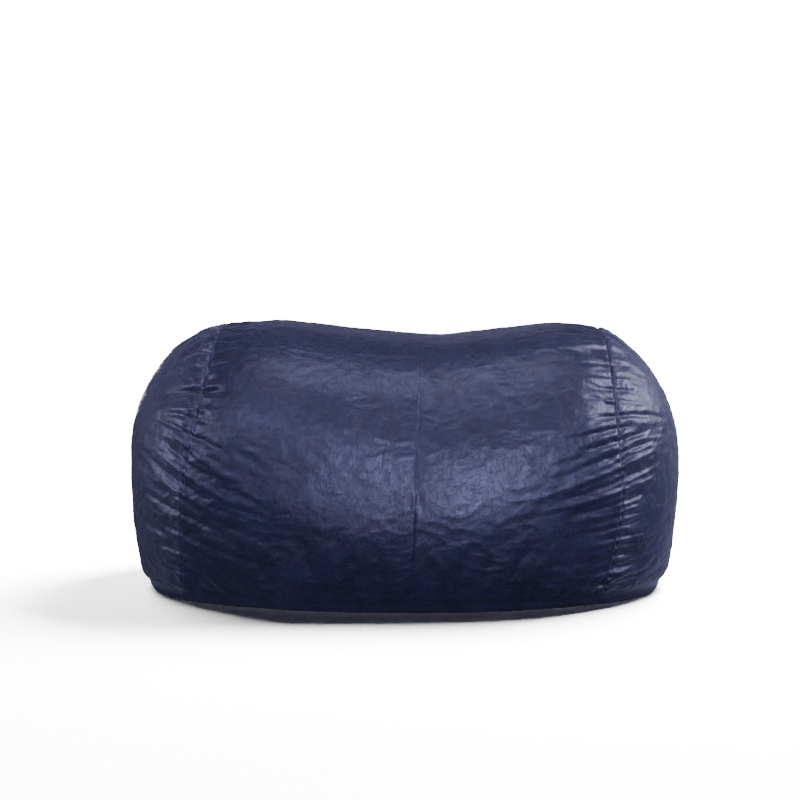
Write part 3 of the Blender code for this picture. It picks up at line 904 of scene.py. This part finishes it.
def new_material(name):
    """An empty material, its node tree, and the place on the piece that its patterns start from."""
    material = bpy.data.materials.new(name)
    material.use_nodes = True
    tree = material.node_tree
    tree.nodes.clear()
    return material, tree, node(tree, "ShaderNodeTexCoord").outputs["Object"]


def finished(tree, values, links):
    """The shader and the output that end every material."""
    shader = node(tree, "ShaderNodeBsdfPrincipled", values, links)
    node(tree, "ShaderNodeOutputMaterial", [], [("Surface", shader.outputs[0])])


def micro_velvet(name, gloss, sheen):
    """Polyester micro-velvet, woven and then brushed one way.

    The short pile is deep navy seen end on and shines pale lavender where it lies over, so every
    crease shows as a light and a dark line. Handling leaves brushed patches, a hand or so across,
    and packing leaves a net of thin creases. The patches' paler blue is painted sheen, and the
    darker blue along the creases is painted shade. A panel cut across the nap shines more.
    """
    material, tree, place = new_material(name)
    slanted = node(tree, "ShaderNodeMapping", [("Rotation", (0, 0.5, 0)), ("Scale", (1, 1, 0.55))],
                   [("Vector", place)]).outputs[0]
    brushed = node(tree, "ShaderNodeTexNoise",
                   [("Scale", 1 / 0.09), ("Detail", 6.0), ("Roughness", 0.66), ("Distortion", 0.7)],
                   [("Vector", slanted)]).outputs[0]
    streaks = node(tree, "ShaderNodeTexNoise",
                   [("Scale", 1 / 0.018), ("Detail", 4.0), ("Roughness", 0.65), ("Distortion", 1.6)],
                   [("Vector", slanted)]).outputs[0]
    # The pile's tufts are half a millimetre apart; they are drawn 3 mm apart so that they show.
    pile = node(tree, "ShaderNodeTexNoise", [("Scale", 1 / 0.003), ("Detail", 2.0)],
                [("Vector", place)]).outputs[0]
    folded = node(tree, "ShaderNodeTexNoise",
                  [("Scale", 1 / 0.038), ("Detail", 3.0), ("Roughness", 0.6), ("Distortion", 0.7)],
                  [("Vector", place)]).outputs[0]
    from_fold = node(tree, "ShaderNodeMath", [(1, 0.5)], [(0, folded)], operation="SUBTRACT").outputs[0]
    from_fold = node(tree, "ShaderNodeMath", [], [(0, from_fold)], operation="ABSOLUTE").outputs[0]
    # Every crease is a millimetre or two wide; they are drawn 4 mm wide so that they show.
    flat = node(tree, "ShaderNodeMapRange", [("From Max", 0.028)], [("Value", from_fold)],
                interpolation_type="SMOOTHSTEP").outputs[0]
    lie = node(tree, "ShaderNodeMath", [(1, 0.5)], [(0, streaks), (2, brushed)],
               operation="MULTIPLY_ADD").outputs[0]
    # Where the brushed patches lie over, the navy is mixed towards a paler blue: painted sheen.
    lit = node(tree, "ShaderNodeMapRange", [("From Min", 0.50), ("From Max", 1.0)],
               [("Value", lie)]).outputs[0]
    # Along each crease line the paler share falls to 0.4 of itself: painted shade in the creases.
    shown = node(tree, "ShaderNodeMapRange", [("To Min", 0.4)], [("Value", flat)]).outputs[0]
    shown = node(tree, "ShaderNodeMath", [], [(0, lit), (1, shown)], operation="MULTIPLY").outputs[0]
    # The base colour carries both the painted sheen of the patches and the painted shade along the creases.
    base = node(tree, "ShaderNodeMix", [(6, colour("#0c0d1d")), (7, colour("#1a1c38"))], [(0, shown)],
                data_type="RGBA").outputs[2]
    rough = node(tree, "ShaderNodeMapRange", [("To Min", 0.45), ("To Max", 0.33)],
                 [("Value", shown)]).outputs[0]
    creased = node(tree, "ShaderNodeBump", [("Strength", 0.4), ("Distance", 0.8 * MM)],
                   [("Height", flat)]).outputs[0]
    crushed = node(tree, "ShaderNodeBump", [("Strength", 0.8), ("Distance", 3.2 * MM)],
                   [("Height", lie), ("Normal", creased)]).outputs[0]
    bump = node(tree, "ShaderNodeBump", [("Strength", 0.35), ("Distance", 0.6 * MM)],
                [("Height", pile), ("Normal", crushed)]).outputs[0]
    finished(tree,
             [("Specular IOR Level", gloss), ("Specular Tint", colour("#bbb7f1")),
              ("Sheen Weight", sheen), ("Sheen Roughness", 0.5), ("Sheen Tint", colour("#9a99c6"))],
             [("Base Color", base), ("Roughness", rough), ("Normal", bump)])
    return material


def taffeta():
    """White polyester taffeta, plain woven and left uncoated.

    It is crisp and faintly shiny, and its hard little creases stay in.
    """
    material, tree, place = new_material("white_taffeta")
    # The threads are a quarter of a millimetre apart; they are drawn 2 mm apart so that they show.
    warp = node(tree, "ShaderNodeTexWave", [("Scale", 0.314 / 0.002), ("Distortion", 0.4)],
                [("Vector", place)], bands_direction="X").outputs["Fac"]
    weft = node(tree, "ShaderNodeTexWave", [("Scale", 0.314 / 0.002), ("Distortion", 0.4)],
                [("Vector", place)], bands_direction="Z").outputs["Fac"]
    weave = node(tree, "ShaderNodeMath", [], [(0, warp), (1, weft)], operation="MULTIPLY").outputs[0]
    cloud = node(tree, "ShaderNodeTexNoise", [("Scale", 1 / 0.08), ("Detail", 3.0)],
                 [("Vector", place)]).outputs[0]
    base = node(tree, "ShaderNodeMix", [(6, colour("#e3e2dc")), (7, colour("#f3f2ee"))], [(0, cloud)],
                data_type="RGBA").outputs[2]
    rough = node(tree, "ShaderNodeMapRange", [("To Min", 0.48), ("To Max", 0.62)],
                 [("Value", weave)]).outputs[0]
    bump = node(tree, "ShaderNodeBump", [("Strength", 0.4), ("Distance", 0.2 * MM)],
                [("Height", weave)]).outputs[0]
    finished(tree, [("Sheen Weight", 0.15)], [("Base Color", base), ("Roughness", rough), ("Normal", bump)])
    return material


def shredded_foam():
    """Shredded polyurethane foam: torn, open-celled crumbs off cream, yellow and grey blocks."""
    material, tree, place = new_material("shredded_foam")
    crumbs = node(tree, "ShaderNodeTexVoronoi", [("Scale", 1 / 0.028)], [("Vector", place)])
    pick = node(tree, "ShaderNodeSeparateColor", [], [(0, crumbs.outputs["Color"])]).outputs[0]
    creamy = node(tree, "ShaderNodeMix", [(6, colour("#efe4c2")), (7, colour("#e2c983"))], [(0, pick)],
                  data_type="RGBA").outputs[2]
    greys = node(tree, "ShaderNodeMath", [(1, 0.82)], [(0, pick)], operation="GREATER_THAN").outputs[0]
    base = node(tree, "ShaderNodeMix", [(7, colour("#9aa0a4"))], [(0, greys), (6, creamy)],
                data_type="RGBA").outputs[2]
    # The foam's cells are under a millimetre; they are drawn 2.5 mm wide so that they show.
    cells = node(tree, "ShaderNodeTexVoronoi", [("Scale", 1 / 0.0025)],
                 [("Vector", place)]).outputs["Distance"]
    rough = node(tree, "ShaderNodeMapRange", [("To Min", 0.86), ("To Max", 0.97)],
                 [("Value", cells)]).outputs[0]
    bump = node(tree, "ShaderNodeBump", [("Strength", 0.6), ("Distance", 0.8 * MM)],
                [("Height", cells)]).outputs[0]
    finished(tree, [("Specular IOR Level", 0.2)],
             [("Base Color", base), ("Roughness", rough), ("Normal", bump)])
    return material


def woven_tape(name, dark, light):
    """Polyester zip tape in a herringbone weave: flat and dull, with fine slanting ribs."""
    material, tree, place = new_material(name)
    split = node(tree, "ShaderNodeSeparateXYZ", [], [(0, place)])
    # Each slanting rib is 0.9 mm wide, and each row of them is 3 mm.
    zigzag = node(tree, "ShaderNodeMath", [(1, 3 * MM)], [(0, split.outputs[2])],
                  operation="PINGPONG").outputs[0]
    slant = node(tree, "ShaderNodeMath", [], [(0, split.outputs[0]), (1, zigzag)],
                 operation="ADD").outputs[0]
    turn = node(tree, "ShaderNodeMath", [(1, math.tau / (0.9 * MM))], [(0, slant)],
                operation="MULTIPLY").outputs[0]
    rib = node(tree, "ShaderNodeMath", [], [(0, turn)], operation="SINE").outputs[0]
    share = node(tree, "ShaderNodeMapRange", [("From Min", -1.0)], [("Value", rib)]).outputs[0]
    # The ribs' crests are painted paler and their troughs darker, following the bump's height: painted
    # light and shade on the weave.
    base = node(tree, "ShaderNodeMix", [(6, colour(dark)), (7, colour(light))], [(0, share)],
                data_type="RGBA").outputs[2]
    rough = node(tree, "ShaderNodeMapRange", [("To Min", 0.82), ("To Max", 0.68)],
                 [("Value", share)]).outputs[0]
    bump = node(tree, "ShaderNodeBump", [("Strength", 0.6), ("Distance", 0.15 * MM)],
                [("Height", share)]).outputs[0]
    finished(tree, [("Sheen Weight", 0.1)], [("Base Color", base), ("Roughness", rough), ("Normal", bump)])
    return material


def nylon(name, dark, light):
    """Nylon monofilament, drawn and dyed in the mass: smooth, with a soft plastic shine."""
    material, tree, place = new_material(name)
    dye = node(tree, "ShaderNodeTexNoise", [("Scale", 1 / 0.006), ("Detail", 2.0)],
               [("Vector", place)]).outputs[0]
    base = node(tree, "ShaderNodeMix", [(6, colour(dark)), (7, colour(light))], [(0, dye)],
                data_type="RGBA").outputs[2]
    rough = node(tree, "ShaderNodeMapRange", [("To Min", 0.34), ("To Max", 0.48)],
                 [("Value", dye)]).outputs[0]
    finished(tree, [("IOR", 1.53)], [("Base Color", base), ("Roughness", rough)])
    return material


def plated_zinc():
    """Die-cast zinc, tumbled and plated gunmetal: a soft dark shine, brighter on its rubbed edges."""
    material, tree, place = new_material("gunmetal_zinc")
    tumble = node(tree, "ShaderNodeTexNoise", [("Scale", 1 / 0.0012), ("Detail", 3.0)],
                  [("Vector", place)]).outputs[0]
    worn = node(tree, "ShaderNodeNewGeometry").outputs["Pointiness"]
    edge = node(tree, "ShaderNodeMapRange", [("From Min", 0.52), ("From Max", 0.62)],
                [("Value", worn)]).outputs[0]
    base = node(tree, "ShaderNodeMix", [(6, colour("#5a5b5f")), (7, colour("#a3a3a4"))], [(0, edge)],
                data_type="RGBA").outputs[2]
    rough = node(tree, "ShaderNodeMapRange", [("To Min", 0.24), ("To Max", 0.42)],
                 [("Value", tumble)]).outputs[0]
    bump = node(tree, "ShaderNodeBump", [("Strength", 0.15), ("Distance", 0.05 * MM)],
                [("Height", tumble)]).outputs[0]
    finished(tree, [("Metallic", 1.0)], [("Base Color", base), ("Roughness", rough), ("Normal", bump)])
    return material


def label_satin():
    """Polyester label satin, woven with long floats and cut hot: white, smooth and softly glossy."""
    material, tree, place = new_material("label_satin")
    ribs = node(tree, "ShaderNodeTexWave", [("Scale", 0.314 / 0.0012), ("Distortion", 0.3)],
                [("Vector", place)], bands_direction="Z").outputs["Fac"]
    # The ribs are painted paler on their crests and darker between them, following the bump's height:
    # painted light and shade on the weave.
    base = node(tree, "ShaderNodeMix", [(6, colour("#dcdbd6")), (7, colour("#f0efec"))], [(0, ribs)],
                data_type="RGBA").outputs[2]
    rough = node(tree, "ShaderNodeMapRange", [("To Min", 0.32), ("To Max", 0.5)],
                 [("Value", ribs)]).outputs[0]
    bump = node(tree, "ShaderNodeBump", [("Strength", 0.3), ("Distance", 0.08 * MM)],
                [("Height", ribs)]).outputs[0]
    finished(tree, [("Sheen Weight", 0.2)], [("Base Color", base), ("Roughness", rough), ("Normal", bump)])
    return material


VELVET = micro_velvet("micro_velvet", 0.50, 0.14)
CROSS_VELVET = micro_velvet("micro_velvet_cut_across", 0.56, 0.32)
TAFFETA_CLOTH = taffeta()
FOAM = shredded_foam()
NAVY_TAPE = woven_tape("navy_zip_tape", "#10122b", "#1c2046")
WHITE_TAPE = woven_tape("white_zip_tape", "#cfcec9", "#e6e5e1")
NAVY_NYLON = nylon("navy_nylon_coil", "#14173a", "#1e2350")
WHITE_NYLON = nylon("white_nylon_coil", "#d2d1cc", "#e8e7e3")
ZINC = plated_zinc()
SATIN = label_satin()


# ---- the pieces -------------------------------------------------------------------------------


def fitted(piece, material, slot, *nodes, body="bag", fill=None):
    """Gives a piece its material, hangs it on the body it rides on, and hides the frame's parts that it
    stands for.
    """
    piece.data.materials.clear()
    piece.data.materials.append(material)
    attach(piece, body)
    if nodes:
        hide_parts(*nodes)


def cover_pieces():
    """The six panels of the cover."""
    mesh = dressed_cover()
    pieces = {}
    for which, name in enumerate(PANELS):
        pieces[name] = cut_panel(mesh, which, name.replace("_panel", "_cover"))
    pieces["base_panel"] = base_cover(foot_loop(mesh))
    for name, piece in pieces.items():
        plush = CROSS_VELVET if name.endswith("_end_panel") else VELVET
        fitted(piece, plush, "cover_plush", name, fill=0.85)


def inner_pieces():
    """The liner's halves and the foam."""
    for name, side in (("liner_left_half", -1), ("liner_right_half", 1)):
        shell = liner_half(name.replace("_half", "_shell"), side)
        fitted(shell, TAFFETA_CLOTH, "liner_taffeta", name, fill=0.9)
    fitted(foam_heap("foam_heap"), FOAM, "foam", "foam_filling", fill=0.9)


# The chain's spirals: their pitch, half the thread's thickness, how far one reaches from the chain's
# middle, how many points draw a turn, and how long the stretch is in which the chain parts.
COIL_PITCH, COIL_WIRE, COIL_REACH = 2.0 * MM, 0.3 * MM, 2.8 * MM
POINTS_A_TURN = 10
PARTING = 7.5 * MM
# A stitch's length, its step from the last, half its thread's thickness, and its row's place.
STITCH, STITCH_STEP, STITCH_THICK = 2.6 * MM, 3.6 * MM, 0.38 * MM
STITCH_BACK = 3.2 * MM
# How deep a stitch lies at each of its five points: sunk at both ends.
STITCH_SINKS = (1, 0.35, 0.2, 0.35, 1)


def new_thread(name, half_thick):
    """A curve that draws a round thread."""
    drawing = bpy.data.curves.new(name, "CURVE")
    drawing.dimensions = "3D"
    drawing.bevel_depth = half_thick
    drawing.bevel_resolution = 1
    drawing.use_fill_caps = True
    return drawing


def coil_thread(name, node_name, outward):
    """One row of the chain: a flattened spiral of monofilament along the tape's edge."""
    low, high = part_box(node_name)
    spread = (high.z - low.z) - COIL_REACH
    length = high.x - low.x
    turns = int(length / COIL_PITCH)
    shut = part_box("cover_zip_slider")[0].x
    parted = shut + PARTING
    near = low.z if outward > 0 else high.z
    drawing = new_thread(name, COIL_WIRE)
    spline = drawing.splines.new("POLY")
    count = turns * POINTS_A_TURN
    spline.points.add(count)
    for k in range(count + 1):
        turn = math.tau * k / POINTS_A_TURN
        x = low.x + COIL_WIRE + (length - 2 * COIL_WIRE) * k / count
        apart = spread * min(1, max(0, (x - shut) / (parted - shut)))
        across = COIL_REACH / 2 - (COIL_REACH / 2 - COIL_WIRE) * math.cos(turn)
        deep = (low.y + high.y) / 2 + ((high.y - low.y) / 2 - COIL_WIRE) * math.sin(turn)
        spline.points[k].co = (x, deep, near + outward * (apart + across), 1)
    return to_object(name, drawing)


def stitch_row(name, start, end):
    """A row of lockstitches lying in the plush, each a short thread sunk at both ends."""
    drawing = new_thread(name, STITCH_THICK)
    run = Vector(end) - Vector(start)
    count = int(run.length / STITCH_STEP)
    for k in range(count):
        spline = drawing.splines.new("POLY")
        spline.points.add(len(STITCH_SINKS) - 1)
        for step, sink in enumerate(STITCH_SINKS):
            share = (k * STITCH_STEP + STITCH * step / 4) / run.length
            place = Vector(start) + run * share
            spline.points[step].co = (place.x, place.y - (sink - 0.35) * STITCH_THICK * 1.6, place.z, 1)
    return to_object(name, drawing)


# The label's cells across and down, its thickness, and how far its foot and its edges curl.
LABEL_STEPS = (16, 22)
LABEL_THICK = 0.45 * MM
LABEL_CURL, LABEL_WAVE = 3.2 * MM, 1.2 * MM


def hanging_label(name):
    """A blank satin label, sewn in at its top and curling a little off the plush at its foot."""
    low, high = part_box("care_label")
    across, down = LABEL_STEPS
    points, faces = [], []
    for row in range(down + 1):
        drop = row / down
        for column in range(across + 1):
            share = column / across
            wave = LABEL_WAVE * drop * math.sin(math.pi * (share * 1.6 + 0.2))
            curl = LABEL_CURL * drop**2.2 + wave
            x = low.x + (high.x - low.x) * share
            points.append((x, low.y + max(0, curl), high.z - (high.z - low.z) * drop))
    wide = across + 1
    for row in range(down):
        for column in range(across):
            corner = row * wide + column
            faces.append((corner, corner + wide, corner + wide + 1, corner + 1))
    piece = to_object(name, to_mesh(name, points, faces))
    cloth = piece.modifiers.new("satin", "SOLIDIFY")
    cloth.thickness = LABEL_THICK
    cloth.offset = 0
    return piece


def zip_pieces():
    """The cover's spirals, stitches and label, and the finishes of both zips' other parts."""
    for side, outward in (("upper", 1), ("lower", -1)):
        fitted(coil_thread(f"cover_zip_{side}_spiral", f"cover_zip_{side}_coil", outward),
               NAVY_NYLON, "zip_coil", f"cover_zip_{side}_coil")
        row = ZIP_SEAM + outward * (SLOT_HALF + STITCH_BACK)
        start, end = ((x, BACK_FLAT, row) for x in (-ZIP_REACH - 2 * MM, ZIP_REACH + 2 * MM))
        fitted(stitch_row(f"cover_zip_{side}_stitching", start, end), NAVY_TAPE, "zip_tape")
    label = hanging_label("care_label_satin")
    fitted(label, SATIN, "label_satin", "care_label")
    metal = ("top_stop", "bottom_stop", "slider", "pull")
    for name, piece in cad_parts.items():
        if "_zip_" not in name or name in ("cover_zip_upper_coil", "cover_zip_lower_coil"):
            continue
        navy = name.startswith("cover")
        finish = ZINC if name.endswith(metal) else {
            "tape": NAVY_TAPE if navy else WHITE_TAPE, "coil": NAVY_NYLON if navy else WHITE_NYLON,
        }[name.rsplit("_", 1)[1]]
        piece.data.materials.clear()
        piece.data.materials.append(finish)


cover_pieces()
inner_pieces()
zip_pieces()


# ---- the stage --------------------------------------------------------------------------------

# The camera: how far off and how steeply it looks down, at what, how much of the frame's width the
# bag fills, and how far the frame is shifted.
STANDOFF, RAISED = 6.0, math.radians(7.2)
AIM = Vector((0, 0, 0.42))
WIDE_IN_FRAME, FRAME_SHIFT = 0.6794, (-0.0058, 0.0756)
SENSOR = 36
# How white the paper is, how bright the backdrop behind it and the room round the bag are.
SWEEP, BACKDROP, ROOM = 0.9, 18.0, 0.004
# Where the paper starts to give way to the backdrop, and where it is gone; half the floor's size.
PAPER_TURNS, PAPER_GONE, FLOOR_HALF = 1.7, 3.6, 30
# Softboxes: place, width and height, power, and whether they light the paper or the bag.
LIGHTS = [
    ("sweep", (1.6, 1.4, 3.4), (2.6, 2.0), 6200, "paper"),
    ("sweep_back", (-2.4, 1.8, 3.2), (2.0, 2.0), 840, "paper"),
    ("top", (0.0, -1.0, 3.8), (3.4, 1.2), 95, "bag"),
    ("upper_left", (-2.2, -3.6, 2.8), (1.2, 0.9), 66, "bag"),
    ("low_front", (1.0, -4.8, 1.7), (1.6, 0.5), 205, "bag"),
    ("bounce", (0.0, -3.0, 0.10), (4.4, 0.3), 40, "bag"),
    ("right", (4.1, -0.9, 2.4), (1.2, 1.0), 190, "bag"),
    ("right_back", (3.7, 0.7, 2.3), (1.4, 1.2), 66, "bag"),
    ("left", (-4.2, -1.0, 1.4), (1.6, 1.6), 88, "bag"),
    ("behind", (-0.8, 4.6, 0.55), (3.0, 0.6), 170, "bag"),
]
# The place that every softbox points at.
LIT_AT = Vector((0, 0, 0.4))


def white_sweep():
    """White studio paper, lit until it glows: it keeps the bag's shadow, and has no horizon."""
    material, tree, place = new_material("white_sweep")
    mottle = node(tree, "ShaderNodeTexNoise", [("Scale", 3.0), ("Detail", 2.0)],
                  [("Vector", place)]).outputs[0]
    tone = node(tree, "ShaderNodeMix", [(6, (SWEEP * 0.97,) * 3 + (1,)), (7, (SWEEP,) * 3 + (1,))],
                [(0, mottle)], data_type="RGBA").outputs[2]
    paper = node(tree, "ShaderNodeBsdfDiffuse", [], [("Color", tone)]).outputs[0]
    glow = node(tree, "ShaderNodeEmission", [("Strength", BACKDROP)]).outputs[0]
    away = node(tree, "ShaderNodeVectorMath", [], [(0, place)], operation="LENGTH").outputs["Value"]
    far = node(tree, "ShaderNodeMapRange", [("From Min", PAPER_TURNS), ("From Max", PAPER_GONE)],
               [("Value", away)], interpolation_type="SMOOTHSTEP").outputs[0]
    mixed = node(tree, "ShaderNodeMixShader", [], [(0, far), (1, paper), (2, glow)]).outputs[0]
    node(tree, "ShaderNodeOutputMaterial", [], [("Surface", mixed)])
    return material


def studio_floor():
    bm = bmesh.new()
    bmesh.ops.create_grid(bm, x_segments=4, y_segments=4, size=FLOOR_HALF)
    floor = to_object("floor", from_bmesh("floor", bm))
    floor.data.materials.append(white_sweep())
    floor.visible_diffuse = floor.visible_glossy = False
    floor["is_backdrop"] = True
    return floor


def studio_camera():
    camera = bpy.data.cameras.new("camera")
    camera.sensor_width = SENSOR
    camera.lens = SENSOR * WIDE_IN_FRAME * STANDOFF / (2 * HALF_WIDTH)
    camera.shift_x, camera.shift_y = FRAME_SHIFT
    eye = to_object("camera", camera)
    eye.location = AIM + STANDOFF * Vector((0, -math.cos(RAISED), math.sin(RAISED)))
    eye.rotation_euler = (AIM - eye.location).to_track_quat("-Z", "Y").to_euler()
    bpy.context.scene.camera = eye


def studio_lights(floor):
    """The softboxes, each lighting either the paper or the bag."""
    lit = {"paper": bpy.data.collections.new("lit_paper"), "bag": bpy.data.collections.new("lit_bag")}
    lit["paper"].objects.link(floor)
    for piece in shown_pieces():
        lit["bag"].objects.link(piece)
    for name, place, size, power, what in LIGHTS:
        light = bpy.data.lights.new(name, "AREA")
        light.energy, light.shape = power, "RECTANGLE"
        light.size, light.size_y = size
        lamp = to_object(name, light)
        lamp.light_linking.receiver_collection = lit[what]
        lamp.location = place
        lamp.rotation_euler = (LIT_AT - lamp.location).to_track_quat("-Z", "Y").to_euler()


def studio_room():
    """The room: a bright backdrop to look at, which hardly lights the bag."""
    world = bpy.data.worlds.new("studio")
    bpy.context.scene.world = world
    world.use_nodes = True
    tree = world.node_tree
    tree.nodes.clear()
    room, backdrop = (
        node(tree, "ShaderNodeBackground", [("Color", (1, 1, 1, 1)), ("Strength", strength)]).outputs[0]
        for strength in (ROOM, BACKDROP)
    )
    seen = node(tree, "ShaderNodeLightPath").outputs["Is Camera Ray"]
    mixed = node(tree, "ShaderNodeMixShader", [], [(0, seen), (1, room), (2, backdrop)]).outputs[0]
    node(tree, "ShaderNodeOutputWorld", [], [("Surface", mixed)])


studio_camera()
studio_lights(studio_floor())
studio_room()
